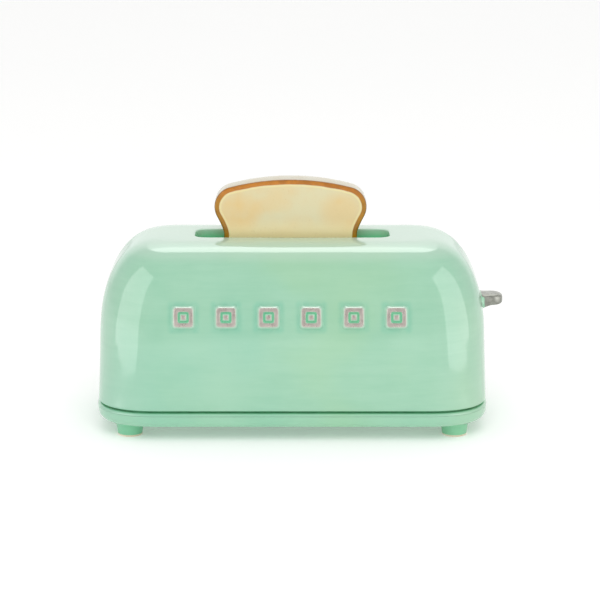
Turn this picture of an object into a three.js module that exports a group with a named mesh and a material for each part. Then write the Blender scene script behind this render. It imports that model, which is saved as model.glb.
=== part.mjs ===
// Covered butter dish in the shape of a two-slot toaster, in glazed ceramic.
// Millimetres, +X to the lever end, +Y to the back, +Z up. The origin is on the surface the feet
// stand on, under the middle of the whole object.

import * as THREE from "three";
import { ParametricGeometry } from "three/addons/geometries/ParametricGeometry.js";
import { mergeVertices } from "three/addons/utils/BufferGeometryUtils.js";

// Gap kept between pieces that the glaze joins or that rest on each other.
const JOINT_GAP = 0.3;

// Heights above the surface that the feet stand on.
const TRAY_BOTTOM = 7;
const WELL_FLOOR = 11.5;
const TRAY_RIM = 15;
const RIDGE_TOP = 20;
const COVER_RIM = TRAY_RIM + JOINT_GAP;
const COVER_TOP = 92.8;

// Tray.
const TRAY_HALF_LENGTH = 95;
const TRAY_HALF_DEPTH = 47.4;
const TRAY_CORNER = 31.5;
const TRAY_EDGE_ROUNDING = 3.6;
const TRAY_RIM_ROUNDING = 1.1;
const RIDGE_INSET = 6.6;
const RIDGE_WIDTH = 3.2;
const RIDGE_ROUNDING = 0.8;
const WELL_FILLET = 2.5;

// Cover: the front and back curve in all the way up to a flat top, as a quarter superellipse. The
// ends stand upright and turn over in a shoulder, squarer than an ellipse. The corners are rounder
// half way up.
const COVER_HALF_LENGTH = 94.7;
const COVER_HALF_DEPTH = 46.5;
const COVER_CORNER = 31;
const COVER_WALL = 4.5;
const COVER_DRAFT = 0.02;
const RIM_ROUNDING = 0.9;
const TOP_HALF_LENGTH = 63;
const TOP_HALF_DEPTH = 15.2;
const TOP_CORNER = 9;
const CORNER_SWELL = 8;
const FRONT_EXPONENT = 2.7;
const END_EXPONENT = 2.25;
const END_SHOULDER_START = 44;

// Recess in the top that the toast slice stands in, and the boss under it that keeps the wall thick.
const SLOT_HALF_LENGTH = 47.4;
const SLOT_HALF_DEPTH = 9.8;
const SLOT_CORNER = 7;
const SLOT_DEPTH = 6.5;
const SLOT_EDGE_ROUNDING = 0.8;
const SLOT_FLOOR_FILLET = 1.5;
const SLOT_FLOOR = COVER_TOP - SLOT_DEPTH;
const BOSS_BOTTOM = SLOT_FLOOR - COVER_WALL;
const BOSS_BLEND = 2;

// Toast slice. It stands a little left of the middle.
const TOAST_X = -0.8;
const TOAST_TOP = 120.5;
const TOAST_THICKNESS = 12.4;
const TOAST_ROUNDING = 1.1;
const TOAST_NECK_HALF_WIDTH = 32.4;
const TOAST_NECK_TOP = 93.5;
const TOAST_CROWN_RADIUS = 116;
const TOAST_EAR_X = 27;
const TOAST_EAR_RADIUS = 10;
const TOAST_EAR_END = THREE.MathUtils.degToRad(28);

// Lever on the right end. It rises a little towards its tip.
const LEVER_TIP_X = 103.3;
const LEVER_Z = 59.7;
const LEVER_RISE = 1;
const LEVER_HALF_WIDTH = 7;
const LEVER_HALF_THICKNESS = 3;
const LEVER_TIP_HALF_WIDTH = 5.9;
const LEVER_TIP_HALF_THICKNESS = 2.4;
const LEVER_NOSE = 6;
const LEVER_NOSE_STEPS = 5;
const LEVER_NOSE_WIDTH_POWER = 0.8;
const LEVER_NOSE_THICKNESS_POWER = 0.35;
const LEVER_SECTION_POWER = 0.6;

// Six raised square tablets in a row on the front, each with a groove round a blunt pyramid stud.
const TABLET_COUNT = 6;
const TABLET_ROW_X = -1;
const TABLET_PITCH = 20.3;
const TABLET_Z = 61;
const TABLET_HALF_SIZE = 5.6;
const TABLET_HEIGHT = 1.7;
const TABLET_BEVEL = 1.1;
const TABLET_BORDER = 1.3;
const GROOVE_DEPTH = 1.2;
const GROOVE_SLOPE = 0.5;
const GROOVE_FLOOR = 0.5;
const STUD_TOP_HALF_SIZE = 0.5;
const TABLET_SQUARENESS = 6;

// Feet.
const FOOT_X = 78.7;
const FOOT_Y = 31.7;
const FOOT_TOP_RADIUS = 7;
const FOOT_BOTTOM_RADIUS = 5.9;
const FOOT_ROUNDING = 0.6;
const FOOT_TOP = TRAY_BOTTOM - JOINT_GAP;

// Smoothness of the solids.
const CORNER_EXPONENT = 2.5;
const CORNER_STEPS = 8;
const WALL_STEPS = 13;
const ROUNDING_STEPS = 2;
const UNDERSIDE_STEPS = 3;
const TOAST_ROUNDING_STEPS = 3;
const TOAST_CURVE_STEPS = 10;
const FOOT_SIDES = 24;
const TABLET_SIDES = 16;
const LEVER_SIDES = 20;

const QUARTER_TURN = Math.PI / 2;

const mintGlaze = { color: 0xa9d7bb, roughness: 0.12, metalness: 0 };
const toastGlaze = { color: 0xe0d09a, roughness: 0.15, metalness: 0 };
const silverLustre = { color: 0xb9bab2, roughness: 0.3, metalness: 0.85 };

function node(name, geometry, finish) {
  const mesh = new THREE.Mesh(geometry, new THREE.MeshStandardMaterial(finish));
  mesh.name = name;
  return mesh;
}

// Joins the seam and the end points of a swept surface into one closed surface.
function closed(geometry) {
  geometry.deleteAttribute("normal");
  geometry.deleteAttribute("uv");
  const merged = mergeVertices(geometry);
  merged.computeVertexNormals();
  return merged;
}

// A surface through rings of points, all of the same length. The first and last ring are one point
// each, repeated, so the surface is closed.
function loft(rings) {
  const sides = rings[0].length;
  const lastRing = rings.length - 1;
  const place = (u, v, target) => {
    const ring = rings[Math.round(v * lastRing)];
    target.copy(ring[Math.round(u * sides) % sides]);
  };
  return closed(new ParametricGeometry(place, sides, lastRing));
}

// Rounded rectangle in plan, anticlockwise from above. Its corners are quarter superellipses.
function plan({ halfLength, halfDepth, corner, z }) {
  const points = [];
  for (let quarter = 0; quarter < 4; quarter++) {
    for (let step = 0; step <= CORNER_STEPS; step++) {
      const angle = (step / CORNER_STEPS + quarter) * QUARTER_TURN;
      const cos = Math.cos(angle);
      const sin = Math.sin(angle);
      const alongX = quarter === 0 || quarter === 3 ? 1 : -1;
      const alongY = quarter < 2 ? 1 : -1;
      const bulgeX = corner * Math.abs(cos) ** (2 / CORNER_EXPONENT);
      const bulgeY = corner * Math.abs(sin) ** (2 / CORNER_EXPONENT);
      const x = alongX * (halfLength - corner + bulgeX);
      const y = alongY * (halfDepth - corner + bulgeY);
      points.push(new THREE.Vector3(x, y, z));
    }
  }
  return points;
}

function middle(z) {
  return plan({ halfLength: 0, halfDepth: 0, corner: 0, z });
}

// Steps of a quarter round, as [across, up] shares of its radius, from level to upright.
function quarterRound(steps = ROUNDING_STEPS) {
  return Array.from({ length: steps + 1 }, (_, step) => {
    const angle = (step / steps) * QUARTER_TURN;
    return [Math.sin(angle), 1 - Math.cos(angle)];
  });
}

// ---- Tray ----

function trayRing(inset, z) {
  return plan({
    halfLength: TRAY_HALF_LENGTH - inset,
    halfDepth: TRAY_HALF_DEPTH - inset,
    corner: TRAY_CORNER - inset,
    z,
  });
}

function tray() {
  const rings = [middle(TRAY_BOTTOM)];
  for (const [across, up] of quarterRound(UNDERSIDE_STEPS)) {
    rings.push(trayRing((1 - across) * TRAY_EDGE_ROUNDING, TRAY_BOTTOM + up * TRAY_EDGE_ROUNDING));
  }
  for (const [across, up] of quarterRound().reverse()) {
    rings.push(trayRing((1 - across) * TRAY_RIM_ROUNDING, TRAY_RIM - up * TRAY_RIM_ROUNDING));
  }
  rings.push(trayRing(RIDGE_INSET, TRAY_RIM));
  for (const [across, up] of quarterRound().reverse()) {
    rings.push(trayRing(RIDGE_INSET + (1 - across) * RIDGE_ROUNDING, RIDGE_TOP - up * RIDGE_ROUNDING));
  }
  const wellInset = RIDGE_INSET + RIDGE_WIDTH;
  for (const [across, up] of quarterRound()) {
    rings.push(trayRing(wellInset - (1 - across) * RIDGE_ROUNDING, RIDGE_TOP - up * RIDGE_ROUNDING));
  }
  for (const [across, up] of quarterRound().reverse()) {
    rings.push(trayRing(wellInset + (1 - across) * WELL_FILLET, WELL_FLOOR + up * WELL_FILLET));
  }
  rings.push(middle(WELL_FLOOR));
  return node("tray", loft(rings), mintGlaze);
}

// ---- Cover ----

// Half length of the cover's outside at a height: upright with draft, then over in the shoulder.
function endReach(z, crown) {
  if (z <= END_SHOULDER_START) return COVER_HALF_LENGTH - COVER_DRAFT * (z - COVER_RIM);
  const atStart = COVER_HALF_LENGTH - COVER_DRAFT * (END_SHOULDER_START - COVER_RIM);
  const rise = Math.min((z - END_SHOULDER_START) / (crown - END_SHOULDER_START), 1);
  const spread = (1 - rise ** END_EXPONENT) ** (1 / END_EXPONENT);
  return TOP_HALF_LENGTH + (atStart - TOP_HALF_LENGTH) * spread;
}

// Size of the cover's outside at a height, or of its inside when inset by the wall.
function coverSize(z, inset = 0) {
  const crown = COVER_TOP - inset;
  const rise = THREE.MathUtils.clamp((z - COVER_RIM) / (crown - COVER_RIM), 0, 1);
  const spread = (1 - rise ** FRONT_EXPONENT) ** (1 / FRONT_EXPONENT);
  const swell = 4 * CORNER_SWELL * rise * (1 - rise);
  return {
    halfLength: endReach(z, crown) - inset,
    halfDepth: TOP_HALF_DEPTH + (COVER_HALF_DEPTH - TOP_HALF_DEPTH) * spread - inset,
    corner: TOP_CORNER + (COVER_CORNER - TOP_CORNER) * spread + swell - inset,
    z,
  };
}

function slotRing(inset, z) {
  return plan({
    halfLength: SLOT_HALF_LENGTH - inset,
    halfDepth: SLOT_HALF_DEPTH - inset,
    corner: SLOT_CORNER - inset,
    z,
  });
}

// Heights up the wall above the rim's rounding, closer together where it turns over to the top.
function wallHeights(inset) {
  const crown = COVER_TOP - inset;
  const heights = [];
  for (let step = 1; step <= WALL_STEPS; step++) {
    const angle = (step / WALL_STEPS) * QUARTER_TURN;
    heights.push(COVER_RIM + (crown - COVER_RIM) * Math.sin(angle));
  }
  return heights;
}

function innerRings() {
  const boss = -COVER_WALL;
  const rings = [
    middle(BOSS_BOTTOM),
    slotRing(boss + BOSS_BLEND, BOSS_BOTTOM),
    slotRing(boss, BOSS_BOTTOM + BOSS_BLEND),
  ];
  const sizes = wallHeights(COVER_WALL).reverse().map((z) => coverSize(z, COVER_WALL));
  const outsideBoss = sizes.filter((size) => size.halfDepth > SLOT_HALF_DEPTH + COVER_WALL);
  rings.push(...outsideBoss.map(plan));
  rings.push(plan(coverSize(COVER_RIM + RIM_ROUNDING, COVER_WALL)));
  return rings;
}

function rimRings() {
  const flatInset = COVER_WALL - RIM_ROUNDING;
  return [
    plan(coverSize(COVER_RIM, flatInset)),
    plan(coverSize(COVER_RIM, RIM_ROUNDING)),
    plan(coverSize(COVER_RIM + RIM_ROUNDING)),
  ];
}

function slotRings() {
  const rings = quarterRound().map(([across, up]) =>
    slotRing((across - 1) * SLOT_EDGE_ROUNDING, COVER_TOP - up * SLOT_EDGE_ROUNDING));
  for (const [across, up] of quarterRound().reverse()) {
    rings.push(slotRing((1 - across) * SLOT_FLOOR_FILLET, SLOT_FLOOR + up * SLOT_FLOOR_FILLET));
  }
  rings.push(middle(SLOT_FLOOR));
  return rings;
}

function coverShell() {
  const outside = wallHeights(0).map((z) => plan(coverSize(z)));
  const rings = [...innerRings(), ...rimRings(), ...outside, ...slotRings()];
  return node("cover_shell", loft(rings), mintGlaze);
}

// ---- Toast slice ----

function toastSlice() {
  const bottom = SLOT_FLOOR + JOINT_GAP;
  const crownZ = TOAST_TOP - TOAST_CROWN_RADIUS;
  const reach = TOAST_CROWN_RADIUS - TOAST_EAR_RADIUS;
  const earZ = crownZ + Math.sqrt(reach ** 2 - TOAST_EAR_X ** 2);
  const shoulderAngle = Math.acos(TOAST_EAR_X / reach);
  const earEnd = {
    x: TOAST_EAR_X + TOAST_EAR_RADIUS * Math.cos(TOAST_EAR_END),
    z: earZ - TOAST_EAR_RADIUS * Math.sin(TOAST_EAR_END),
  };
  const bendZ = earEnd.z - (earEnd.x - TOAST_NECK_HALF_WIDTH) / Math.tan(TOAST_EAR_END);

  const outline = new THREE.Shape();
  outline.moveTo(-TOAST_NECK_HALF_WIDTH, bottom);
  outline.lineTo(TOAST_NECK_HALF_WIDTH, bottom);
  outline.lineTo(TOAST_NECK_HALF_WIDTH, TOAST_NECK_TOP);
  outline.quadraticCurveTo(TOAST_NECK_HALF_WIDTH, bendZ, earEnd.x, earEnd.z);
  outline.absarc(TOAST_EAR_X, earZ, TOAST_EAR_RADIUS, -TOAST_EAR_END, shoulderAngle);
  outline.absarc(0, crownZ, TOAST_CROWN_RADIUS, shoulderAngle, Math.PI - shoulderAngle);
  outline.absarc(
    -TOAST_EAR_X, earZ, TOAST_EAR_RADIUS, Math.PI - shoulderAngle, Math.PI + TOAST_EAR_END);
  outline.quadraticCurveTo(
    -TOAST_NECK_HALF_WIDTH, bendZ, -TOAST_NECK_HALF_WIDTH, TOAST_NECK_TOP);

  const geometry = new THREE.ExtrudeGeometry(outline, {
    depth: TOAST_THICKNESS - 2 * TOAST_ROUNDING,
    bevelThickness: TOAST_ROUNDING,
    bevelSize: TOAST_ROUNDING,
    bevelOffset: -TOAST_ROUNDING,
    bevelSegments: TOAST_ROUNDING_STEPS,
    curveSegments: TOAST_CURVE_STEPS,
  });
  geometry.translate(0, 0, TOAST_ROUNDING - TOAST_THICKNESS / 2);
  const slice = node("toast_slice", closed(geometry), toastGlaze);
  slice.rotation.x = QUARTER_TURN;
  slice.position.x = TOAST_X;
  return slice;
}

// ---- Lever ----

// Closed oval section in Y and Z, squared a little, round a height, at a place along X.
function leverRing(halfWidth, halfThickness, middleZ, placeX) {
  return Array.from({ length: LEVER_SIDES }, (_, side) => {
    const angle = (side / LEVER_SIDES) * 4 * QUARTER_TURN;
    const squared = (value) => Math.sign(value) * Math.abs(value) ** LEVER_SECTION_POWER;
    const z = middleZ + halfThickness * squared(Math.sin(angle));
    return new THREE.Vector3(placeX(z), halfWidth * squared(Math.cos(angle)), z);
  });
}

function leverKnob() {
  const root = (z) => coverSize(z).halfLength + JOINT_GAP;
  const rings = [
    leverRing(0, 0, LEVER_Z, root),
    leverRing(LEVER_HALF_WIDTH, LEVER_HALF_THICKNESS, LEVER_Z, root),
  ];
  for (let step = 0; step <= LEVER_NOSE_STEPS; step++) {
    const angle = (step / LEVER_NOSE_STEPS) * QUARTER_TURN;
    const x = LEVER_TIP_X - LEVER_NOSE * (1 - Math.sin(angle));
    const cos = Math.max(Math.cos(angle), 0);
    const halfWidth = LEVER_TIP_HALF_WIDTH * cos ** LEVER_NOSE_WIDTH_POWER;
    const halfThickness = LEVER_TIP_HALF_THICKNESS * cos ** LEVER_NOSE_THICKNESS_POWER;
    rings.push(leverRing(halfWidth, halfThickness, LEVER_Z + LEVER_RISE, () => x));
  }
  return node("lever_knob", loft(rings), silverLustre);
}

// ---- Relief tablets ----

// A point over the cover's front wall: along X, up the slope of the wall, and out from it.
function onFrontWall(x, up, out) {
  const low = coverSize(TABLET_Z - TABLET_HALF_SIZE).halfDepth;
  const high = coverSize(TABLET_Z + TABLET_HALF_SIZE).halfDepth;
  const lean = Math.atan((low - high) / (2 * TABLET_HALF_SIZE));
  const z = TABLET_Z + up * Math.cos(lean);
  const y = -coverSize(z).halfDepth;
  return new THREE.Vector3(x, y - out * Math.cos(lean), z + out * Math.sin(lean));
}

// A square with soft corners, seen from the front, anticlockwise.
function tabletRing(halfSize, out) {
  return Array.from({ length: TABLET_SIDES }, (_, side) => {
    const angle = ((side + 0.5) / TABLET_SIDES) * 4 * QUARTER_TURN;
    const cos = Math.cos(angle);
    const sin = Math.sin(angle);
    const norm = (Math.abs(cos) ** TABLET_SQUARENESS + Math.abs(sin) ** TABLET_SQUARENESS)
      ** (1 / TABLET_SQUARENESS);
    return onFrontWall((halfSize * cos) / norm, (halfSize * sin) / norm, JOINT_GAP + out);
  });
}

function reliefTablet() {
  const face = TABLET_HALF_SIZE - TABLET_BEVEL;
  const grooveStart = face - TABLET_BORDER;
  const grooveFloor = grooveStart - GROOVE_SLOPE;
  const rings = [
    tabletRing(0, 0),
    tabletRing(TABLET_HALF_SIZE, 0),
    tabletRing(face, TABLET_HEIGHT),
    tabletRing(grooveStart, TABLET_HEIGHT),
    tabletRing(grooveFloor, TABLET_HEIGHT - GROOVE_DEPTH),
    tabletRing(grooveFloor - GROOVE_FLOOR, TABLET_HEIGHT - GROOVE_DEPTH),
    tabletRing(STUD_TOP_HALF_SIZE, TABLET_HEIGHT),
    tabletRing(0, TABLET_HEIGHT),
  ];
  return loft(rings);
}

function reliefTablets() {
  const row = new THREE.Group();
  row.position.x = TABLET_ROW_X;
  for (let index = 0; index < TABLET_COUNT; index++) {
    const tablet = node(`relief_tablet_${index + 1}`, reliefTablet(), silverLustre);
    tablet.position.x = (index - (TABLET_COUNT - 1) / 2) * TABLET_PITCH;
    row.add(tablet);
  }
  return row;
}

// ---- Feet ----

function foot(name, x, y) {
  const profile = [
    [0, 0],
    [FOOT_BOTTOM_RADIUS - FOOT_ROUNDING, 0],
    [FOOT_BOTTOM_RADIUS, FOOT_ROUNDING],
    [FOOT_TOP_RADIUS, FOOT_TOP],
    [0, FOOT_TOP],
  ].map(([radius, height]) => new THREE.Vector2(radius, height));
  const mesh = node(name, closed(new THREE.LatheGeometry(profile, FOOT_SIDES)), mintGlaze);
  mesh.rotation.x = QUARTER_TURN;
  mesh.position.set(x, y, 0);
  return mesh;
}

function feet() {
  return [
    foot("foot_front_left", -FOOT_X, -FOOT_Y),
    foot("foot_front_right", FOOT_X, -FOOT_Y),
    foot("foot_rear_left", -FOOT_X, FOOT_Y),
    foot("foot_rear_right", FOOT_X, FOOT_Y),
  ];
}

// ---- Assembly ----

const butterDish = new THREE.Group();
butterDish.position.x = (TRAY_HALF_LENGTH - LEVER_TIP_X) / 2;
butterDish.add(tray(), ...feet(), coverShell(), toastSlice(), leverKnob(), reliefTablets());

export default butterDish;
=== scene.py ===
"""Covered butter dish shaped like a toaster, in mint-glazed ceramic: the looks around the CAD frame.

The frame's own axes and metres: +X to the lever end, +Y to the back, +Z up. The dish's lengths are
written in millimetres times MM, and the studio's lengths in metres. A noise scale in a material is
in features per metre.
"""

import math

import bmesh
import bpy
import numpy as np
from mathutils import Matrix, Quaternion, Vector, noise


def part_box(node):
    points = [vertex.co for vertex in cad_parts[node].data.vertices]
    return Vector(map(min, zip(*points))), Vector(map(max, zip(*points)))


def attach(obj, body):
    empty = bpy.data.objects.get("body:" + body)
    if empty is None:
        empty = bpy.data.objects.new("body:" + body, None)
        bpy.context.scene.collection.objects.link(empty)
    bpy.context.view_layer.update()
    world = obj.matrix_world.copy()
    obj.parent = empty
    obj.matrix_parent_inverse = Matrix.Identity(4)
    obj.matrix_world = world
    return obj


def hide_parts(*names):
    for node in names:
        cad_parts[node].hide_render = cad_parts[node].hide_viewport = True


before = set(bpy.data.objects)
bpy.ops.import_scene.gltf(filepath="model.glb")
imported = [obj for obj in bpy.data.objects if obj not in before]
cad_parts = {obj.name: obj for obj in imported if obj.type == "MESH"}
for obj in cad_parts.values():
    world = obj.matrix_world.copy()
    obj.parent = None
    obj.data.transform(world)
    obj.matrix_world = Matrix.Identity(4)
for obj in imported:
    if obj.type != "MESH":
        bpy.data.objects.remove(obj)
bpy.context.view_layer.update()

MM = 0.001

# ---------------------------------------------------------------- sizes from the frame

TRAY_LOW, TRAY_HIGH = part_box("tray")
COVER_LOW, COVER_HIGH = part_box("cover_shell")
TOAST_LOW, TOAST_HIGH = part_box("toast_slice")
LEVER_LOW, LEVER_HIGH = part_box("lever_knob")
TABLETS = [f"relief_tablet_{number}" for number in range(1, 7)]
FEET = ["foot_front_left", "foot_front_right", "foot_rear_left", "foot_rear_right"]

MIDDLE_X = (TRAY_LOW.x + TRAY_HIGH.x) / 2
TRAY_HALF = (TRAY_HIGH - TRAY_LOW) / 2
COVER_HALF = (COVER_HIGH - COVER_LOW) / 2
RIM_Z = COVER_LOW.z
TOP_Z = COVER_HIGH.z

# ---------------------------------------------------------------- driving dimensions

PLAN_EXPONENT = 2.5
TRAY_CORNER = 31.5 * MM
TRAY_RIM_Z = RIM_Z - 0.3 * MM
WELL_FLOOR_Z = 11.5 * MM
RIDGE_INSET = 6.6 * MM
RIDGE_WIDTH = 3.2 * MM
SEAM_DROP = 0.8 * MM

CLAY_BAND = 0.85 * MM

COVER_CORNER = 31 * MM
COVER_WALL = 4.5 * MM
COVER_DRAFT = 0.02
RIM_ROUNDING = 0.5 * MM
TOP_HALF_LENGTH = 63 * MM
TOP_HALF_DEPTH = 15.2 * MM
TOP_CORNER = 9 * MM
CORNER_SWELL = 8 * MM
FRONT_EXPONENT = 2.7
END_EXPONENT = 2.25
END_SHOULDER_Z = 44 * MM

SLOT_HALF_LENGTH = 47.4 * MM
SLOT_HALF_DEPTH = 9.8 * MM
SLOT_CORNER = 7 * MM
SLOT_DEPTH = 6.5 * MM
SLOT_EDGE_ROUNDING = 0.8 * MM

# how far the glaze goes to its deep colour or to its pale one, from 0 to 1: real pooling and thinning, and
# in places painted shade and painted highlight, as noted
# painted shade: the seam ring of the tray darkened where the cover sits
SEAM_SHADE = 0.4
TRAY_POOL = 0.07
# partly glaze pooled on the feet, partly painted shade under the tray
FOOT_POOL_AND_SHADE = 0.4
# painted shade: the cover rim's underside darkened in the seam
COVER_RIM_SHADE = 0.5
# partly glaze pooled in the slot, partly painted shade deepening down into it
SLOT_POOL_AND_SHADE = 0.95
GROOVE_POOL = 0.45
# painted shade on the lever's glazed root
LEVER_ROOT_SHADE = 0.1
# partly thin glaze, partly painted highlight: the shoulder and top paler near the top
TOP_THINNING_AND_SHEEN = 0.75
TOP_SHEEN_FADE = 8 * MM
# partly thin glaze on the curves, partly painted sheen towards the corners and ends
END_THINNING_AND_SHEEN = 0.2
TABLET_HALO_WIDTH = 3 * MM

# the hand-made unevenness of the cover, with its waves in features per metre
UNEVENNESS = 0.16 * MM
UNEVENNESS_FADE = 14 * MM
SLOW_WAVES, QUICK_WAVES, QUICK_SHARE = 28, 75, 0.4

CORNER_STEPS = 18
LONG_STEPS = 56
SHORT_STEPS = 14
ARC_STEPS = 6
WALL_STEPS = 64
FOOT_STEPS = 64
LEVER_STEPS = 48
TABLET_STEPS = 72


# ---------------------------------------------------------------- outlines and surfaces

def plan(half_length, half_depth, corner):
    """Rounded rectangle, anticlockwise from above, with superellipse corners and divided sides."""
    turn = np.linspace(0, math.pi / 2, CORNER_STEPS + 1)
    bulge = 2 / PLAN_EXPONENT
    x = half_length - corner + corner * np.cos(turn).clip(0) ** bulge
    y = half_depth - corner + corner * np.sin(turn).clip(0) ** bulge
    back_right = np.column_stack([x, y])
    back_left = np.column_stack([-x, y])[::-1]
    corners = [back_right, back_left, -back_right, -back_left]
    points = []
    for index, arc in enumerate(corners):
        points.extend(arc)
        steps = LONG_STEPS if index % 2 == 0 else SHORT_STEPS
        following = corners[(index + 1) % 4][0]
        points.extend(arc[-1] + (following - arc[-1]) * step / steps for step in range(1, steps))
    return np.array(points)


def filleted(corners, steps=ARC_STEPS):
    """A path through corners (u, v, radius), each one rounded with its radius but for the ends."""
    path = []
    for index, (u, v, radius) in enumerate(corners):
        point = np.array([u, v])
        if radius == 0 or index in (0, len(corners) - 1):
            path.append(point)
            continue
        back = np.array(corners[index - 1][:2]) - point
        ahead = np.array(corners[index + 1][:2]) - point
        back /= np.linalg.norm(back)
        ahead /= np.linalg.norm(ahead)
        half_angle = math.acos(np.clip(back @ ahead, -1, 1)) / 2
        bisector = back + ahead
        bisector /= np.linalg.norm(bisector)
        centre = point + bisector * radius / math.sin(half_angle)
        reach = radius / math.tan(half_angle)
        first, last = point + back * reach - centre, point + ahead * reach - centre
        turn = math.pi - 2 * half_angle
        for step in range(steps + 1):
            share = step / steps
            weight_first = math.sin((1 - share) * turn) / math.sin(turn)
            weight_last = math.sin(share * turn) / math.sin(turn)
            path.append(centre + first * weight_first + last * weight_last)
    return path


def skin(name, rings, marks=None):
    """A closed mesh through rings of points. marks gives float attributes, a value or array per ring."""
    count = len(rings[0])
    vertices = np.vstack(rings)
    faces = []
    for ring in range(len(rings) - 1):
        base, above = ring * count, (ring + 1) * count
        for side in range(count):
            following = (side + 1) % count
            faces.append((base + side, base + following, above + following, above + side))
    faces.append(tuple(range(count - 1, -1, -1)))
    faces.append(tuple(range((len(rings) - 1) * count, len(rings) * count)))
    mesh = bpy.data.meshes.new(name)
    mesh.from_pydata(vertices.tolist(), [], faces)
    for mark, values in (marks or {}).items():
        spread = np.concatenate([np.broadcast_to(value, (count,)) for value in values])
        attribute = mesh.attributes.new(mark, "FLOAT", "POINT")
        attribute.data.foreach_set("value", spread.astype(np.float32))
    work = bmesh.new()
    work.from_mesh(mesh)
    bmesh.ops.remove_doubles(work, verts=work.verts, dist=0.001 * MM)
    bmesh.ops.dissolve_degenerate(work, edges=work.edges, dist=0.0001 * MM)
    if work.calc_volume(signed=True) < 0:
        bmesh.ops.reverse_faces(work, faces=work.faces)
    for face in work.faces:
        face.smooth = True
    work.to_mesh(mesh)
    work.free()
    mesh.update()
    piece = bpy.data.objects.new(name, mesh)
    bpy.context.scene.collection.objects.link(piece)
    return piece


def flat_ring(outline, z):
    """An outline round the dish's middle, lifted to a height."""
    return np.column_stack([outline[:, 0] + MIDDLE_X, outline[:, 1], np.full(len(outline), z)])


def girth(rings):
    """Distance along the surface from the first ring to each ring, at the middle of the front."""
    front = np.argmin(np.abs(rings[0][:, 0] - MIDDLE_X) + 10 * (rings[0][:, 1] > 0))
    steps = [np.linalg.norm(b[front] - a[front]) for a, b in zip(rings, rings[1:])]
    return np.concatenate([[0], np.cumsum(steps)])


def end_thinning_and_sheen(ring):
    """How pale the glaze is at each point of a ring towards the corners and ends: partly thin glaze on the
    curves, partly a painted sheen where the ends catch the light.
    """
    past_start = np.abs(ring[:, 0] - MIDDLE_X) - COVER_HALF.x + COVER_CORNER
    return END_THINNING_AND_SHEEN * np.clip(past_start / COVER_CORNER, 0, 1)


def make_uneven(piece, low_z):
    """Moves the surface in and out by a slow noise, fading to nothing down to low_z."""
    piece.data.update()
    normals = [vertex.normal.copy() for vertex in piece.data.vertices]
    for vertex, normal in zip(piece.data.vertices, normals):
        slow = noise.noise(vertex.co * SLOW_WAVES)
        quick = noise.noise(vertex.co * QUICK_WAVES)
        reach = min(max((vertex.co.z - low_z) / UNEVENNESS_FADE, 0), 1)
        vertex.co += normal * (UNEVENNESS * reach * (slow + QUICK_SHARE * quick))
    piece.data.update()


def circle(steps):
    """The cosines and sines of a full turn."""
    turn = np.linspace(0, 2 * math.pi, steps, endpoint=False)
    return np.cos(turn), np.sin(turn)


# ---------------------------------------------------------------- material nodes

class Nodes:
    """Shorthand for building a node tree: inputs are sockets to link or values to set."""

    def __init__(self, tree):
        self.tree = tree

    def add(self, kind, settings=None, output=0, **inputs):
        """Adds a node. An input is named as in Blender, or i0, i1 and so on by its place."""
        node = self.tree.nodes.new(kind)
        for key, value in (settings or {}).items():
            setattr(node, key, value)
        for key, value in inputs.items():
            index = int(key[1:]) if key[0] == "i" and key[1:].isdigit() else key.replace("_", " ")
            socket = node.inputs[index]
            if isinstance(value, bpy.types.NodeSocket):
                self.tree.links.new(value, socket)
            else:
                socket.default_value = value
        return node.outputs[output] if node.outputs else None

    def math(self, operation, first, second=0.0, third=0.0):
        return self.add("ShaderNodeMath", {"operation": operation}, i0=first, i1=second, i2=third)

    def mix(self, factor, first, second):
        """One colour laid over another by a factor."""
        settings = {"data_type": "RGBA", "clamp_factor": True}
        return self.add("ShaderNodeMix", settings, output=2, i0=factor, i6=first, i7=second)

    def ramp(self, value, low, high, out_low=0.0, out_high=1.0):
        """Smooth step of value from low to high, clamped."""
        return self.add("ShaderNodeMapRange", {"interpolation_type": "SMOOTHSTEP"},
                        i0=value, i1=low, i2=high, i3=out_low, i4=out_high)

    def times(self, first, second):
        return self.math("MULTIPLY", first, second)

    def attribute(self, name):
        return self.add("ShaderNodeAttribute", {"attribute_name": name}, output=2)

    def noise(self, vector, scale, detail=2.0, roughness=0.5):
        return self.add("ShaderNodeTexNoise", Vector=vector, Scale=scale, Detail=detail,
                        Roughness=roughness)

    def position(self):
        """The point in the frame's axes, which moves with the piece."""
        return self.add("ShaderNodeTexCoord", output=3)

    def axes(self, vector):
        node = self.tree.nodes.new("ShaderNodeSeparateXYZ")
        self.tree.links.new(vector, node.inputs[0])
        return node.outputs

    def combine(self, x, y, z):
        return self.add("ShaderNodeCombineXYZ", i0=x, i1=y, i2=z)

    def bump(self, height, distance, strength=1.0):
        return self.add("ShaderNodeBump", Strength=strength, Distance=distance, Height=height)


def srgb(red, green, blue):
    """A colour given as 0 to 255, as the linear colour that a shader takes."""
    def linear(value):
        share = value / 255
        return share / 12.92 if share <= 0.04045 else ((share + 0.055) / 1.055) ** 2.4
    return (linear(red), linear(green), linear(blue), 1.0)


def material(name, build):
    made = bpy.data.materials.new(name)
    made.use_nodes = True
    made.node_tree.nodes.clear()
    nodes = Nodes(made.node_tree)
    surface = build(nodes)
    nodes.add("ShaderNodeOutputMaterial", Surface=surface)
    return made


MINT = srgb(146, 199, 168)
MINT_LIGHT = srgb(156, 205, 176)
# the glaze's pooled colour, also used as painted shade
MINT_POOLED_AND_SHADED = srgb(78, 204, 142)
# the glaze's thin colour, also used as painted highlight
MINT_THIN_AND_SHEEN = srgb(199, 221, 204)
MINT_HALO = srgb(104, 188, 158)
MINT_WARM = srgb(160, 204, 162)
MINT_COOL = srgb(136, 198, 172)
CLAY = srgb(222, 210, 184)
CLAY_LIGHT = srgb(236, 228, 208)
WHITE = (1, 1, 1, 1)

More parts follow.
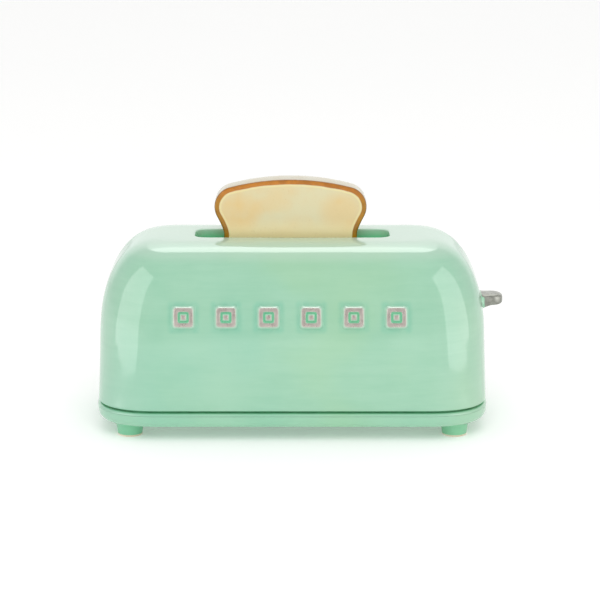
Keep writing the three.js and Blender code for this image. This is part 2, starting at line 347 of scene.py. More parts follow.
CRUMB_CREAM = srgb(222, 212, 172)
CRUMB_TOASTED = srgb(229, 194, 130)
CRUMB_WARM_AND_LIT = srgb(252, 232, 176)
# warm band at the slice's base, made lighter as painted light against the slot's shade
CRUMB_BROWN = srgb(205, 178, 120)
PALE_LINE = srgb(240, 226, 166)
CRUST_AT_SIDES = (srgb(154, 103, 4), srgb(178, 122, 12))
CRUST_AT_TOP = (srgb(172, 103, 16), srgb(196, 122, 30))
CRUST_OUTLINE = srgb(120, 86, 36)
SLICE_SIDES = (srgb(198, 191, 163), srgb(192, 180, 144))

TABLET_TONES = (srgb(186, 175, 168), srgb(200, 190, 183))
LEVER_TONES = (srgb(132, 133, 125), srgb(158, 159, 151))
PAPER_TONES = (srgb(243, 243, 242), srgb(247, 247, 246))

WARM_PATCH_X = 25 * MM
WARM_PATCH_BELOW_TOP = 16 * MM
WARM_PATCH_HALF_WIDTH = 12 * MM
WARM_PATCH_HALF_HEIGHT = 11 * MM

STREAKS_ALONG = 34
STREAKS_UP = 230
TINT_DRIFTS = 17
GLAZE_RIPPLE = 0.12 * MM
CLAY_GRAIN = 0.08 * MM
BRUSH_MARKS = (700, 700, 160)
BRUSH_RELIEF = 0.012 * MM


def tablet_halo(nodes, point):
    """How much glaze pools round the foot of the nearest tablet, from the place on the front."""
    first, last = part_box(TABLETS[0]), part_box(TABLETS[-1])
    x, y, z = nodes.axes(point)
    row_x = (first[0].x + last[1].x) / 2
    half = (first[1].x - first[0].x) / 2
    pitch = (last[0].x - first[0].x) / (len(TABLETS) - 1)
    along = nodes.math("SUBTRACT", x, row_x + pitch / 2)
    across = nodes.math("ABSOLUTE", nodes.math("WRAP", along, pitch / 2, -pitch / 2))
    above = nodes.math("ABSOLUTE", nodes.math("SUBTRACT", z, (first[0].z + first[1].z) / 2))
    past_side = nodes.math("MAXIMUM", nodes.math("SUBTRACT", across, half), 0.0)
    past_edge = nodes.math("MAXIMUM", nodes.math("SUBTRACT", above, half), 0.0)
    far = nodes.math("SQRT", nodes.math("ADD", nodes.math("POWER", past_side, 2.0),
                                        nodes.math("POWER", past_edge, 2.0)))
    near = nodes.ramp(far, TABLET_HALO_WIDTH, 0.2 * MM)
    row_end = pitch * len(TABLETS) / 2
    in_row = nodes.ramp(nodes.math("ABSOLUTE", nodes.math("SUBTRACT", x, row_x)), row_end, row_end - 1 * MM)
    on_front = nodes.math("LESS_THAN", y, 0.0)
    patchy = nodes.ramp(nodes.noise(point, 170), 0.35, 0.6, 0.45, 1.0)
    return nodes.times(nodes.times(nodes.times(near, in_row), on_front), patchy)


def mint_glaze(nodes):
    """Mint glaze brushed on in level streaks: deeper where it pools and where painted shade darkens the
    seam, slot, feet and lever root, paler where it runs thin and where painted highlight lightens the top,
    ends and edges.
    """
    point = nodes.position()
    x, y, _ = nodes.axes(point)
    up = nodes.attribute("girth")
    streak_place = nodes.combine(nodes.times(x, STREAKS_ALONG), nodes.times(y, STREAKS_ALONG),
                                 nodes.times(up, STREAKS_UP))
    streaks = nodes.noise(streak_place, 1.0, 3.0, 0.6)
    clouds = nodes.noise(point, STREAKS_ALONG, 3.0, 0.6)
    blend = nodes.math("ADD", nodes.times(streaks, 0.5), nodes.times(clouds, 0.5))
    colour = nodes.mix(nodes.ramp(blend, 0.32, 0.68), MINT, MINT_LIGHT)
    elsewhere = nodes.add("ShaderNodeMapping", Vector=point, Location=(3, 5, 7))
    drift = nodes.noise(elsewhere, TINT_DRIFTS, 2.0, 0.5)
    colour = nodes.mix(nodes.ramp(drift, 0.5, 0.72, 0, 0.45), colour, MINT_WARM)
    colour = nodes.mix(nodes.ramp(drift, 0.5, 0.28, 0, 0.4), colour, MINT_COOL)
    colour = nodes.mix(nodes.times(tablet_halo(nodes, point), 0.4), colour, MINT_HALO)
    # deeper where the glaze pools, and painted shade in the seam, slot, feet and lever root
    colour = nodes.mix(nodes.attribute("pool_and_shade"), colour, MINT_POOLED_AND_SHADED)
    # paler where the glaze runs thin, and painted highlight on the top, ends and edges
    colour = nodes.mix(nodes.attribute("thin_and_sheen"), colour, MINT_THIN_AND_SHEEN)
    ripple = nodes.noise(point, 95, 1.0, 0.4)
    dimple = nodes.noise(point, 620, 1.0, 0.5)
    height = nodes.math("ADD", ripple, nodes.times(dimple, 0.05))
    return nodes.add("ShaderNodeBsdfPrincipled", Base_Color=colour, Roughness=0.07, IOR=1.8,
                     Normal=nodes.bump(height, GLAZE_RIPPLE, 0.5))


def bare_clay(nodes):
    """Unglazed white-body clay, dry and finely grained."""
    point = nodes.position()
    grain = nodes.noise(point, 1400, 3.0, 0.6)
    tone = nodes.mix(nodes.ramp(nodes.noise(point, 120), 0.4, 0.6), CLAY, CLAY_LIGHT)
    return nodes.add("ShaderNodeBsdfPrincipled", Base_Color=tone, Roughness=0.85,
                     Normal=nodes.bump(grain, CLAY_GRAIN, 0.5))


def ware(nodes):
    """Glaze with the clay left bare where the piece stood in the kiln."""
    wobble = nodes.times(nodes.noise(nodes.position(), 260), 0.5)
    bare = nodes.ramp(nodes.math("ADD", nodes.attribute("clay"), wobble), 0.62, 0.82)
    return nodes.add("ShaderNodeMixShader", i0=bare, i1=mint_glaze(nodes), i2=bare_clay(nodes))


def silver_lustre(nodes, dark, light):
    """Silver painted on the glaze, with faint brush marks and a slightly uneven shine."""
    point = nodes.position()
    brush_place = nodes.add("ShaderNodeMapping", Vector=point, Scale=BRUSH_MARKS)
    brush = nodes.noise(brush_place, 1.0, 2.0)
    patches = nodes.noise(point, 330, 2.0, 0.5)
    colour = nodes.mix(nodes.ramp(patches, 0.35, 0.65), dark, light)
    rough = nodes.ramp(brush, 0.3, 0.7, 0.26, 0.36)
    return nodes.add("ShaderNodeBsdfPrincipled", Base_Color=colour, Metallic=0.85, Roughness=rough,
                     Normal=nodes.bump(brush, BRUSH_RELIEF, 0.4))


def silver_over_glaze(nodes, dark, light):
    """Silver where the mark 'paint' says so, glaze below it, with an uneven painted border."""
    wobble = nodes.times(nodes.math("SUBTRACT", nodes.noise(nodes.position(), 700), 0.5), 0.5)
    painted = nodes.ramp(nodes.math("ADD", nodes.attribute("paint"), wobble), 0.42, 0.58)
    return nodes.add("ShaderNodeMixShader", i0=painted, i1=mint_glaze(nodes),
                     i2=silver_lustre(nodes, dark, light))


def toast_face(nodes, point):
    """Cream bread, warmer on the ears, warmer and lighter at the base where painted light lifts it out of
    the slot's shade, with browner crumbs.
    """
    x, _, z = nodes.axes(point)
    across = nodes.math("ABSOLUTE", nodes.math("SUBTRACT", x, (TOAST_LOW.x + TOAST_HIGH.x) / 2))
    ear_x = nodes.math("DIVIDE", nodes.math("SUBTRACT", across, WARM_PATCH_X), WARM_PATCH_HALF_WIDTH)
    above = nodes.math("SUBTRACT", z, TOAST_HIGH.z - WARM_PATCH_BELOW_TOP)
    ear_z = nodes.math("DIVIDE", above, WARM_PATCH_HALF_HEIGHT)
    ear_far = nodes.math("ADD", nodes.times(ear_x, ear_x), nodes.times(ear_z, ear_z))
    ears = nodes.ramp(ear_far, 1.3, 0.0)
    mottle = nodes.noise(point, 70, 2.0, 0.5)
    toasted = nodes.math("ADD", nodes.times(ears, 0.55), nodes.ramp(mottle, 0.38, 0.68, 0, 0.4))
    face = nodes.mix(toasted, CRUMB_CREAM, CRUMB_TOASTED)
    # partly the slice's warm band, partly painted light lifting the base out of the slot's shade
    base_warm_and_lit = nodes.ramp(z, TOP_Z + 10 * MM, TOP_Z - 1 * MM)
    face = nodes.mix(nodes.times(base_warm_and_lit, 0.85), face, CRUMB_WARM_AND_LIT)
    crumb = nodes.noise(point, 900, 3.0, 0.7)
    return nodes.mix(nodes.ramp(crumb, 0.58, 0.75, 0, 0.25), face, CRUMB_BROWN)


def toast_crust(nodes, point):
    """Brown crust, darker down the sides than over the top, with a thin dark outline."""
    _, _, z = nodes.axes(point)
    patches = nodes.ramp(nodes.noise(point, 150), 0.35, 0.65)
    over_top = nodes.ramp(z, TOAST_HIGH.z - 12 * MM, TOAST_HIGH.z - 5 * MM)
    at_sides = nodes.mix(patches, *CRUST_AT_SIDES)
    at_top = nodes.mix(patches, *CRUST_AT_TOP)
    tone = nodes.mix(over_top, at_sides, at_top)
    outline = nodes.ramp(nodes.attribute("inset"), 0.7 * MM, 0.1 * MM)
    return nodes.mix(nodes.times(outline, 0.6), tone, CRUST_OUTLINE)


def toast_glaze(nodes):
    """Bread face, pale line and crust line, with plain grey-cream sides, under one clear glaze."""
    point = nodes.position()
    _, y, z = nodes.axes(point)
    wobble = nodes.times(nodes.math("SUBTRACT", nodes.noise(point, 130), 0.5), 0.8 * MM)
    inset = nodes.math("ADD", nodes.attribute("inset"), wobble)
    crust_width = nodes.ramp(z, TOAST_HIGH.z - 14 * MM, TOAST_HIGH.z - 3 * MM, 2.4 * MM, 2.3 * MM)
    past_crust = nodes.math("SUBTRACT", inset, crust_width)
    off_line = nodes.math("ABSOLUTE", nodes.math("SUBTRACT", past_crust, 0.6 * MM))
    pale_line = nodes.times(nodes.ramp(off_line, 0.7 * MM, 0.1 * MM), 0.6)
    face = nodes.mix(pale_line, toast_face(nodes, point), PALE_LINE)
    in_crust = nodes.ramp(past_crust, 0.2 * MM, -0.2 * MM)
    painted = nodes.mix(in_crust, face, toast_crust(nodes, point))
    side_patches = nodes.ramp(nodes.noise(point, 110), 0.35, 0.65)
    side = nodes.mix(side_patches, *SLICE_SIDES)
    from_middle = nodes.math("ABSOLUTE", nodes.math("SUBTRACT", y, (TOAST_LOW.y + TOAST_HIGH.y) / 2))
    half_depth = (TOAST_HIGH.y - TOAST_LOW.y) / 2
    on_face = nodes.ramp(from_middle, half_depth - 1.05 * MM, half_depth - 0.85 * MM)
    ripple = nodes.noise(point, 140, 1.0, 0.4)
    return nodes.add("ShaderNodeBsdfPrincipled", Base_Color=nodes.mix(on_face, side, painted),
                     Roughness=0.12, IOR=1.5, Normal=nodes.bump(ripple, GLAZE_RIPPLE, 0.5))


WARE = material("mint_ware", ware)
TABLET_SILVER = material("tablet_silver", lambda nodes: silver_over_glaze(nodes, *TABLET_TONES))
LEVER_SILVER = material("lever_silver", lambda nodes: silver_over_glaze(nodes, *LEVER_TONES))
TOAST = material("toast_paint", toast_glaze)


def finish_piece(piece, made, body, node):
    """Gives a piece its material, hides the CAD node it replaces and ties it to the body it rides."""
    piece.data.materials.append(made)
    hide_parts(node)
    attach(piece, body)


# ---------------------------------------------------------------- tray

def tray_ring(inset, z):
    outline = plan(TRAY_HALF.x - inset, TRAY_HALF.y - inset, TRAY_CORNER - inset)
    return flat_ring(outline, z)


def make_tray():
    """Underside, rim that dips outside the cover, ridge inside it, and well."""
    bottom, rim = TRAY_LOW.z, TRAY_RIM_Z
    ridge_top = TRAY_HIGH.z
    well = RIDGE_INSET + RIDGE_WIDTH
    profile = filleted([
        (9 * MM, bottom, 0),
        (0.4 * MM, bottom, 3.4 * MM),
        (0, bottom + 5.6 * MM, 6 * MM),
        (0.1 * MM, rim - SEAM_DROP, 1.5 * MM),
        (3.4 * MM, rim - SEAM_DROP, 0.3 * MM),
        (3.9 * MM, rim, 0.3 * MM),
        (RIDGE_INSET, rim, 0.7 * MM),
        (RIDGE_INSET, ridge_top, 0.9 * MM),
        (well, ridge_top, 0.9 * MM),
        (well, WELL_FLOOR_Z, 2.5 * MM),
        (well + 6 * MM, WELL_FLOOR_Z, 0),
    ])
    rings = [tray_ring(inset, z) for inset, z in profile]
    # painted shade on the seam ring, where tray and cover meet
    in_seam = [abs(z - rim) < 0.9 * MM and inset > 1.1 * MM for inset, z in profile]
    pool_and_shade = [SEAM_SHADE if deep else TRAY_POOL for deep in in_seam]
    # paler towards the tray's ends: partly thin glaze, partly painted sheen
    marks = {"girth": girth(rings), "pool_and_shade": pool_and_shade, "thin_and_sheen": [end_thinning_and_sheen(ring) for ring in rings]}
    piece = skin("tray_body", rings, marks)
    finish_piece(piece, WARE, "tray", "tray")


def make_foot(node):
    """A round stub that flares into the tray, glazed but for a clay band at its sole."""
    low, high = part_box(node)
    centre = (low + high) / 2
    top_radius = (high.x - low.x) / 2
    tray_bottom = TRAY_LOW.z
    profile = filleted([
        (0.4 * MM, 0.35 * MM, 0),
        (3.4 * MM, 0.35 * MM, 0.3 * MM),
        (3.9 * MM, 0, 0.2 * MM),
        (top_radius - 1.0 * MM, 0, 0.6 * MM),
        (top_radius - 1.0 * MM, CLAY_BAND, 0),
        (top_radius - 0.98 * MM, CLAY_BAND + 0.15 * MM, 0),
        (top_radius - 0.1 * MM, tray_bottom, 1.6 * MM),
        (top_radius + 2.2 * MM, tray_bottom + 0.05 * MM, 0),
    ])
    cos, sin = circle(FOOT_STEPS)
    rings = []
    for radius, z in profile:
        ring = [centre.x + radius * cos, centre.y + radius * sin, np.full(FOOT_STEPS, z)]
        rings.append(np.column_stack(ring))
    clay = [float(z < CLAY_BAND + 0.05 * MM) for _, z in profile]
    # partly glaze pooled, partly painted shade under the tray
    pool_and_shade = [FOOT_POOL_AND_SHADE * float(z > CLAY_BAND) for _, z in profile]
    marks = {"girth": [z for _, z in profile], "clay": clay, "pool_and_shade": pool_and_shade}
    piece = skin(node + "_body", rings, marks)
    finish_piece(piece, WARE, "tray", node)


# ---------------------------------------------------------------- cover

def end_reach(z, crown):
    """Half length of the outside at a height: upright with draft, then over in the shoulder."""
    if z <= END_SHOULDER_Z:
        return COVER_HALF.x - COVER_DRAFT * (z - RIM_Z)
    at_start = COVER_HALF.x - COVER_DRAFT * (END_SHOULDER_Z - RIM_Z)
    rise = min((z - END_SHOULDER_Z) / (crown - END_SHOULDER_Z), 1)
    spread = (1 - rise ** END_EXPONENT) ** (1 / END_EXPONENT)
    return TOP_HALF_LENGTH + (at_start - TOP_HALF_LENGTH) * spread


def cover_size(z, inset=0.0):
    """Half length, half depth and corner of the outside, or of the inside when inset by the wall."""
    crown = TOP_Z - inset
    rise = min(max((z - RIM_Z) / (crown - RIM_Z), 0), 1)
    spread = (1 - rise ** FRONT_EXPONENT) ** (1 / FRONT_EXPONENT)
    half_depth = TOP_HALF_DEPTH + (COVER_HALF.y - TOP_HALF_DEPTH) * spread - inset
    swell = 4 * CORNER_SWELL * rise * (1 - rise)
    corner = TOP_CORNER + (COVER_CORNER - TOP_CORNER) * spread + swell - inset
    return end_reach(z, crown) - inset, half_depth, corner


def cover_ring(z, inset=0.0):
    return flat_ring(plan(*cover_size(z, inset)), z)


def slot_ring(inset, z):
    outline = plan(SLOT_HALF_LENGTH - inset, SLOT_HALF_DEPTH - inset, SLOT_CORNER - inset)
    return flat_ring(outline, z)


def wall_heights(inset, low):
    """Heights up the wall and over to the top, closer together where the surface turns."""
    turn = np.linspace(0, math.pi / 2, WALL_STEPS)
    crown = TOP_Z - inset
    return list(low + (crown - low) * np.sin(turn))


def make_cover():
    """Boss, inside, rim, outside and slot, as one run of rings from the boss to the slot's floor."""
    slot_floor = TOP_Z - SLOT_DEPTH
    boss_low = slot_floor - COVER_WALL
    rings, clay, pool_and_shade, thin_and_sheen = [], [], [], []

    def put(ring, bare=0.0, pooled_and_shaded=0.0, thinning_and_sheen=0.0):
        rings.append(ring)
        clay.append(bare)
        pool_and_shade.append(pooled_and_shaded)
        thin_and_sheen.append(thinning_and_sheen)

    boss = filleted([(3 * MM - COVER_WALL, boss_low, 0), (-COVER_WALL, boss_low, 2 * MM),
                     (-COVER_WALL - 0.6 * MM, TOP_Z - COVER_WALL - 1.2 * MM, 0)])
    for inset, z in boss:
        put(slot_ring(inset, z))
    inner_low = RIM_Z + RIM_ROUNDING
    for z in reversed(wall_heights(COVER_WALL, inner_low)):
        if cover_size(z, COVER_WALL)[1] > SLOT_HALF_DEPTH + COVER_WALL + 2 * MM:
            put(cover_ring(z, COVER_WALL))
    rim = filleted([(COVER_WALL, inner_low + 0.3 * MM, 0), (COVER_WALL, RIM_Z, RIM_ROUNDING),
                    (0, RIM_Z, RIM_ROUNDING), (0, inner_low + 0.3 * MM, 0)])
    for inset, z in rim[1:-1]:
        bare = float(z < RIM_Z + 0.1 * MM and inset > 1.5 * MM)
        # painted shade on the rim's underside, in the seam
        put(cover_ring(z, inset), bare=bare, pooled_and_shaded=COVER_RIM_SHADE * float(z < RIM_Z + 0.1 * MM))
    for z in wall_heights(0, inner_low + 0.4 * MM):
        ring = cover_ring(z)
        # partly thin glaze, partly painted highlight: paler near the top and towards the ends
        near_top = min(max((z - TOP_Z) / TOP_SHEEN_FADE + 1, 0), 1)
        put(ring, thinning_and_sheen=np.maximum(TOP_THINNING_AND_SHEEN * near_top, end_thinning_and_sheen(ring)))
    edge = filleted([(-2.4 * MM, TOP_Z, 0), (0, TOP_Z, SLOT_EDGE_ROUNDING),
                     (0.1 * MM, slot_floor, 1.5 * MM), (3 * MM, slot_floor, 0)])
    for inset, z in edge:
        below = (TOP_Z - z) / SLOT_DEPTH
        # a painted highlight along the slot's rim, partly thin glaze there, and the top's paleness fading
        # down into the slot
        thinning_and_sheen = 0.5 if 0 < below < 0.1 else TOP_THINNING_AND_SHEEN * (1 - below) ** 2
        # partly glaze pooled, partly painted shade deepening down the slot
        put(slot_ring(inset, z), pooled_and_shaded=min(SLOT_POOL_AND_SHADE, 2 * below), thinning_and_sheen=thinning_and_sheen)
    marks = {"girth": girth(rings), "clay": clay, "pool_and_shade": pool_and_shade, "thin_and_sheen": thin_and_sheen}
    piece = skin("cover_body", rings, marks)
    make_uneven(piece, RIM_Z + 2 * MM)
    finish_piece(piece, WARE, "cover", "cover_shell")


# ---------------------------------------------------------------- toast slice

TOAST_ROUNDING = 1.1 * MM
NECK_HALF_WIDTH = 32.4 * MM
NECK_TOP_Z = 93.5 * MM
CROWN_RADIUS = 116 * MM
EAR_X = 27 * MM
EAR_RADIUS = 10 * MM
EAR_END = math.radians(28)


def toast_outline():
    """The slice seen from the front: neck, ears and crown, from the bottom middle anticlockwise."""
    bottom, top = TOAST_LOW.z, TOAST_HIGH.z
    crown_z = top - CROWN_RADIUS
    reach = CROWN_RADIUS - EAR_RADIUS
    ear_z = crown_z + math.sqrt(reach ** 2 - EAR_X ** 2)
    meet = math.acos(EAR_X / reach)
    end_x = EAR_X + EAR_RADIUS * math.cos(EAR_END)
    end_z = ear_z - EAR_RADIUS * math.sin(EAR_END)
    bend_z = end_z - (end_x - NECK_HALF_WIDTH) / math.tan(EAR_END)

    right = [(x, bottom) for x in np.linspace(0, NECK_HALF_WIDTH, 12)[:-1]]
    right += [(NECK_HALF_WIDTH, z) for z in np.linspace(bottom, NECK_TOP_Z, 8)[:-1]]
    for share in np.linspace(0, 1, 14)[:-1]:
        x = (1 - share ** 2) * NECK_HALF_WIDTH + share ** 2 * end_x
        z = (1 - share) ** 2 * NECK_TOP_Z + 2 * share * (1 - share) * bend_z + share ** 2 * end_z
        right.append((x, z))
    for angle in np.linspace(-EAR_END, meet, 26)[:-1]:
        right.append((EAR_X + EAR_RADIUS * math.cos(angle), ear_z + EAR_RADIUS * math.sin(angle)))
    for angle in np.linspace(meet, math.pi / 2, 22):
        right.append((CROWN_RADIUS * math.cos(angle), crown_z + CROWN_RADIUS * math.sin(angle)))
    left = [(-x, z) for x, z in right[-2:0:-1]]
    return np.array(right + left)


def make_toast():
    """The slice, from the middle of its front face round its rounded edges to the back face."""
    outline = toast_outline()
    ahead, behind = np.roll(outline, -1, 0), np.roll(outline, 1, 0)
    along = ahead - behind
    along /= np.linalg.norm(along, axis=1)[:, None]
    inward = np.column_stack([-along[:, 1], along[:, 0]])
    centre = (TOAST_LOW + TOAST_HIGH) / 2
    half = (TOAST_HIGH.y - TOAST_LOW.y) / 2
    inner = 5 * MM
    profile = filleted([(inner, -half, 0), (3.6 * MM, -half, 0), (2 * MM, -half, 0),
                        (0, -half, TOAST_ROUNDING), (0, half, TOAST_ROUNDING),
                        (2 * MM, half, 0), (3.6 * MM, half, 0), (inner, half, 0)], 8)
    rings = []
    for inset, y in profile:
        flat = outline + inward * inset
        rings.append(np.column_stack([flat[:, 0] + centre.x, np.full(len(flat), centre.y + y), flat[:, 1]]))
    piece = skin("toast_body", rings, {"inset": [inset for inset, _ in profile]})
    finish_piece(piece, TOAST, "cover", "toast_slice")


# ---------------------------------------------------------------- lever

LEVER_CLIMB = 0.4 * MM
LEVER_PLUMPING = 0.5 * MM
LEVER_NOSE = 5.5 * MM
LEVER_FLARE = 0.5 * MM
LEVER_FLARE_LENGTH = 1.5 * MM
LEVER_WIDTH_TAPER = 0.14
LEVER_THICKNESS_TAPER = 0.18


def make_lever():
    """A flattened bar that flares into the end wall, tapers outwards and ends in a round nose."""
    centre = (LEVER_LOW + LEVER_HIGH) / 2
    half_width = (LEVER_HIGH.y - LEVER_LOW.y) / 2
    half_thickness = (LEVER_HIGH.z - LEVER_LOW.z - LEVER_CLIMB) / 2 + LEVER_PLUMPING
    root_z = LEVER_LOW.z + half_thickness - 1.5 * LEVER_PLUMPING
    tip_z = LEVER_HIGH.z - (1 - LEVER_THICKNESS_TAPER) * half_thickness
    nose_start = LEVER_HIGH.x - LEVER_NOSE
    wall = MIDDLE_X + cover_size(root_z)[0]
    side, up = circle(LEVER_STEPS)
    box_y = np.sign(side) * np.abs(side) ** 0.5
    box_z = np.sign(up) * np.abs(up) ** 0.5
    sections = []
    for flare in np.linspace(1, 0, 6):
        out = wall - 0.2 * MM + LEVER_FLARE_LENGTH * (1 - flare)
        sections.append((out, LEVER_FLARE * flare ** 2.2))
    for x in np.linspace(wall + LEVER_FLARE_LENGTH, nose_start, 9)[1:]:
        sections.append((x, 0.0))
    rings, paint = [], []
    for x, grow in sections:
        taper = (x - wall) / (nose_start - wall)
        width = half_width * (1 - LEVER_WIDTH_TAPER * taper) + grow
        thick = half_thickness * (1 - LEVER_THICKNESS_TAPER * taper) + grow
        z = root_z + (tip_z - root_z) * max(0, taper) + thick * box_z
        bend = np.array([cover_size(height)[0] + MIDDLE_X - wall for height in z])
        lean = max(0, 1 - (x - wall) / (2 * MM))
        rings.append(np.column_stack([x + bend * lean, centre.y + width * box_y, z]))
        paint.append((x - wall) / MM + np.where(up > 0.55, 0.2, -0.7))
    for angle in np.linspace(0, math.pi / 2, 13)[1:-1]:
        width = half_width * (1 - LEVER_WIDTH_TAPER) * math.cos(angle) ** 0.75
        thick = half_thickness * (1 - LEVER_THICKNESS_TAPER) * math.cos(angle) ** 0.4
        x = np.full(LEVER_STEPS, nose_start + LEVER_NOSE * math.sin(angle))
        rings.append(np.column_stack([x, centre.y + width * box_y, tip_z + thick * box_z]))
        paint.append(2.0)
    # painted shade on the lever's glazed root
    marks = {"paint": paint, "pool_and_shade": [LEVER_ROOT_SHADE] * len(rings)}
    piece = skin("lever_body", rings, marks)
    finish_piece(piece, LEVER_SILVER, "cover", "lever_knob")


# ---------------------------------------------------------------- relief tablets

TABLET_SQUARENESS = 7
TABLET_FACE_OUT = 1.95 * MM
GROOVE_DEPTH = 1.2 * MM


def front_point(x, z, up, out):
    """A point over the front wall: up its slope from height z, and out from it."""
    low, high = cover_size(z - 5 * MM)[1], cover_size(z + 5 * MM)[1]
    lean = math.atan2(low - high, 10 * MM)
    height = z + up * math.cos(lean)
    y = -cover_size(height)[1]
    return x, y - out * math.cos(lean), height + out * math.sin(lean)


def make_tablet(node):
    """A square tablet that follows the wall, with a groove round a blunt stud."""
    low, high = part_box(node)
    x = (low.x + high.x) / 2
    z = (low.z + high.z) / 2
    half = (high.x - low.x) / 2
    cos, sin = circle(TABLET_STEPS)
    power = TABLET_SQUARENESS
    norm = (np.abs(cos) ** power + np.abs(sin) ** power) ** (1 / power)
    square = np.column_stack([cos / norm, sin / norm])
    face = TABLET_FACE_OUT
    profile = filleted([
        (half + 0.9 * MM, -0.3 * MM, 0),
        (half + 0.1 * MM, 0.15 * MM, 0.5 * MM),
        (half - 1.15 * MM, face, 0.5 * MM),
        (half - 2.75 * MM, face, 0.35 * MM),
        (half - 3.25 * MM, face - GROOVE_DEPTH, 0.25 * MM),
        (half - 3.6 * MM, face - GROOVE_DEPTH, 0.25 * MM),
        (0.85 * MM, face, 0.4 * MM),
        (0.05 * MM, face, 0),
    ], 4)
    rings = []
    for size, out in profile:
        ring = [front_point(x + across * size, z, up * size, out) for across, up in square]
        rings.append(np.array(ring))
    paint = [(out - 1.3 * MM) / (0.8 * MM) for _, out in profile]
    pool_and_shade = [GROOVE_POOL if size < half - 2 * MM and out < 1.2 * MM else 0.0 for size, out in profile]
    # paler glaze on the bevels: partly thin glaze, partly a painted highlight
    thin_and_sheen = [1.0 if out > 0.5 * MM and not pooled_and_shaded else 0.0 for (_, out), pooled_and_shaded in zip(profile, pool_and_shade)]
    piece = skin(node + "_body", rings, {"paint": paint, "pool_and_shade": pool_and_shade, "thin_and_sheen": thin_and_sheen})
    finish_piece(piece, TABLET_SILVER, "cover", node)


# ---------------------------------------------------------------- stage

BACKDROP_GLOW = 1.18
SURROUND_GLOW = 0.76

FLOOR_HALF_WIDTH = 14
FLOOR_THICKNESS = 0.01
FLOOR_GLOW = 0.21

SOFTBOX_GLOW = 1.15
SOFTBOX_AZIMUTH = math.radians(61)
SOFTBOX_DISTANCE = 0.405
SOFTBOX_HEIGHT = 0.2
SOFTBOX_SIZE = (0.3, 0.5)
SOFTBOX_ROLL = math.radians(14)

BANK_GLOW = 2.65
BANK_HEIGHT = 1.0
BANK_WIDTH = 1.06
BANK_SWEEP = 5.0
BANK_NEAR = 0.12
BANK_NEAR_FADE = 0.06
BANK_FAR = 2.6
BANK_FAR_FADE_START = 0.91
BANK_DIMMING = 0.32
BANK_DIMMING_POWER = -2.1

KEY_GLOW = 2.2
KEY_AZIMUTH = math.radians(4)
KEY_ELEVATION = math.radians(48)
KEY_DISTANCE = 1.6
KEY_SIZE = 1.0


def white_paper(nodes):
    """White paper with a faint grain, lit a little from below as on a light table."""
    grain = nodes.noise(nodes.position(), 900, 2.0)
    tone = nodes.mix(nodes.ramp(grain, 0.3, 0.7), *PAPER_TONES)
    paper = nodes.add("ShaderNodeBsdfDiffuse", Color=tone)
    lit_from_below = nodes.add("ShaderNodeEmission", Color=WHITE, Strength=FLOOR_GLOW)
    return nodes.add("ShaderNodeAddShader", i0=paper, i1=lit_from_below)


def make_floor():
    square = np.array([(-1, -1), (1, -1), (1, 1), (-1, 1)]) * FLOOR_HALF_WIDTH
    rings = [np.column_stack([square, np.full(4, z)]) for z in (0, -FLOOR_THICKNESS)]
    floor = skin("floor", rings)
    floor.data.materials.append(material("white_paper", white_paper))
    for face in floor.data.polygons:
        face.use_smooth = False


def panel(name, place, size, glow):
    """A lit rectangle that shows only in the gloss of what it faces. glow is its radiance."""
    data = bpy.data.lights.new(name, "AREA")
    data.shape = "RECTANGLE"
    data.size, data.size_y = size
    data.energy = glow * size[0] * size[1] * math.pi
    lamp = bpy.data.objects.new(name, data)
    bpy.context.scene.collection.objects.link(lamp)
    lamp.location = place
    lamp.visible_camera = False
    lamp.visible_diffuse = False
    return lamp


def softbox(name, side):
    """An upright panel to one side and ahead, facing the dish and rolled a little in its own plane."""
    away = Vector((side * math.sin(SOFTBOX_AZIMUTH), -math.cos(SOFTBOX_AZIMUTH), 0))
    place = away * SOFTBOX_DISTANCE + Vector((0, 0, SOFTBOX_HEIGHT))
    lamp = panel(name, place, SOFTBOX_SIZE, SOFTBOX_GLOW)
    upright = (-away).to_track_quat("-Z", "Y")
    roll = Quaternion((0, 0, 1), side * SOFTBOX_ROLL)
    lamp.rotation_euler = (upright @ roll).to_euler()


def make_key():
    """A soft light from the front, high up. It lights surfaces and never shows in gloss."""
    level = math.cos(KEY_ELEVATION)
    towards = Vector((level * math.sin(KEY_AZIMUTH), -level * math.cos(KEY_AZIMUTH),
                      math.sin(KEY_ELEVATION)))
    lamp = panel("key", towards * KEY_DISTANCE, (KEY_SIZE, KEY_SIZE), KEY_GLOW)
    lamp.visible_diffuse = True
    lamp.visible_glossy = False
    lamp.rotation_euler = towards.to_track_quat("Z", "Y").to_euler()


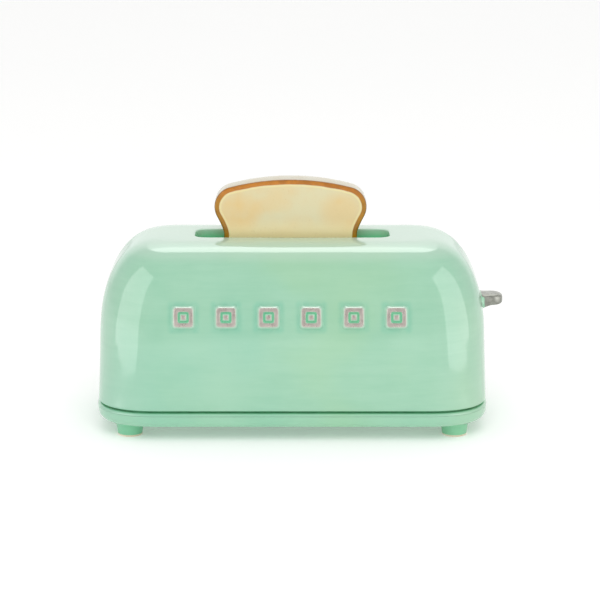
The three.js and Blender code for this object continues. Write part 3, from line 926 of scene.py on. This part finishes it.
def make_bank():
    """A long panel overhead, from just behind the dish to far behind it, dimmer further back.

    Its near edge sweeps back towards the sides, and its far edge fades out.
    """
    depth = BANK_FAR - BANK_NEAR
    place = Vector((0, (BANK_FAR + BANK_NEAR) / 2, BANK_HEIGHT))
    lamp = panel("bank", place, (BANK_WIDTH, depth), BANK_GLOW)
    lamp.data.use_nodes = True
    nodes = Nodes(lamp.data.node_tree)
    lamp.data.node_tree.nodes.clear()
    side, back, _ = nodes.axes(nodes.add("ShaderNodeNewGeometry"))
    reach = nodes.math("DIVIDE", back, BANK_HEIGHT - TOP_Z)
    falloff = nodes.times(nodes.math("POWER", reach, BANK_DIMMING_POWER), BANK_DIMMING)
    dimming = nodes.math("MINIMUM", falloff, 1.0)
    swept = nodes.times(nodes.math("POWER", nodes.math("ABSOLUTE", side), 3.0), BANK_SWEEP)
    near_edge = nodes.ramp(nodes.math("SUBTRACT", back, swept), BANK_NEAR, BANK_NEAR + BANK_NEAR_FADE)
    far_edge = nodes.ramp(back, BANK_FAR, BANK_FAR_FADE_START)
    shape = nodes.times(near_edge, far_edge)
    light = nodes.add("ShaderNodeEmission", Strength=nodes.times(dimming, shape))
    nodes.add("ShaderNodeOutputLight", Surface=light)


def make_world():
    """Even pale surroundings with a brighter backdrop."""
    world = bpy.data.worlds.new("studio")
    bpy.context.scene.world = world
    world.use_nodes = True
    world.node_tree.nodes.clear()
    nodes = Nodes(world.node_tree)
    _, back, _ = nodes.axes(nodes.add("ShaderNodeTexCoord", output=0))
    strength = nodes.ramp(back, 0.6, 0.85, SURROUND_GLOW, BACKDROP_GLOW)
    light = nodes.add("ShaderNodeBackground", Color=WHITE, Strength=strength)
    nodes.add("ShaderNodeOutputWorld", Surface=light)


def make_lights():
    softbox("softbox_left", -1)
    softbox("softbox_right", 1)
    make_key()
    make_bank()


# ---------------------------------------------------------------- camera

CAMERA_DISTANCE = 1.3
CAMERA_ELEVATION = math.radians(14.2)
CAMERA_HEIGHT_OVER = 45 * MM
AIM = Vector((-0.35 * MM, 0, 59.1 * MM))
LENS = 158
SENSOR_WIDTH = 36


def make_camera():
    data = bpy.data.cameras.new("camera")
    data.lens = LENS
    data.sensor_width = SENSOR_WIDTH
    data.clip_end = 4 * FLOOR_HALF_WIDTH
    camera = bpy.data.objects.new("camera", data)
    bpy.context.scene.collection.objects.link(camera)
    camera.location = Vector((AIM.x, -CAMERA_DISTANCE * math.cos(CAMERA_ELEVATION),
                              CAMERA_HEIGHT_OVER + CAMERA_DISTANCE * math.sin(CAMERA_ELEVATION)))
    camera.rotation_euler = (AIM - camera.location).to_track_quat("-Z", "Y").to_euler()
    bpy.context.scene.camera = camera


make_camera()
make_world()
make_lights()
make_floor()
make_tray()
for foot in FEET:
    make_foot(foot)
make_cover()
make_toast()
make_lever()
for tablet in TABLETS:
    make_tablet(tablet)

bpy.context.scene.view_settings.view_transform = "Standard"
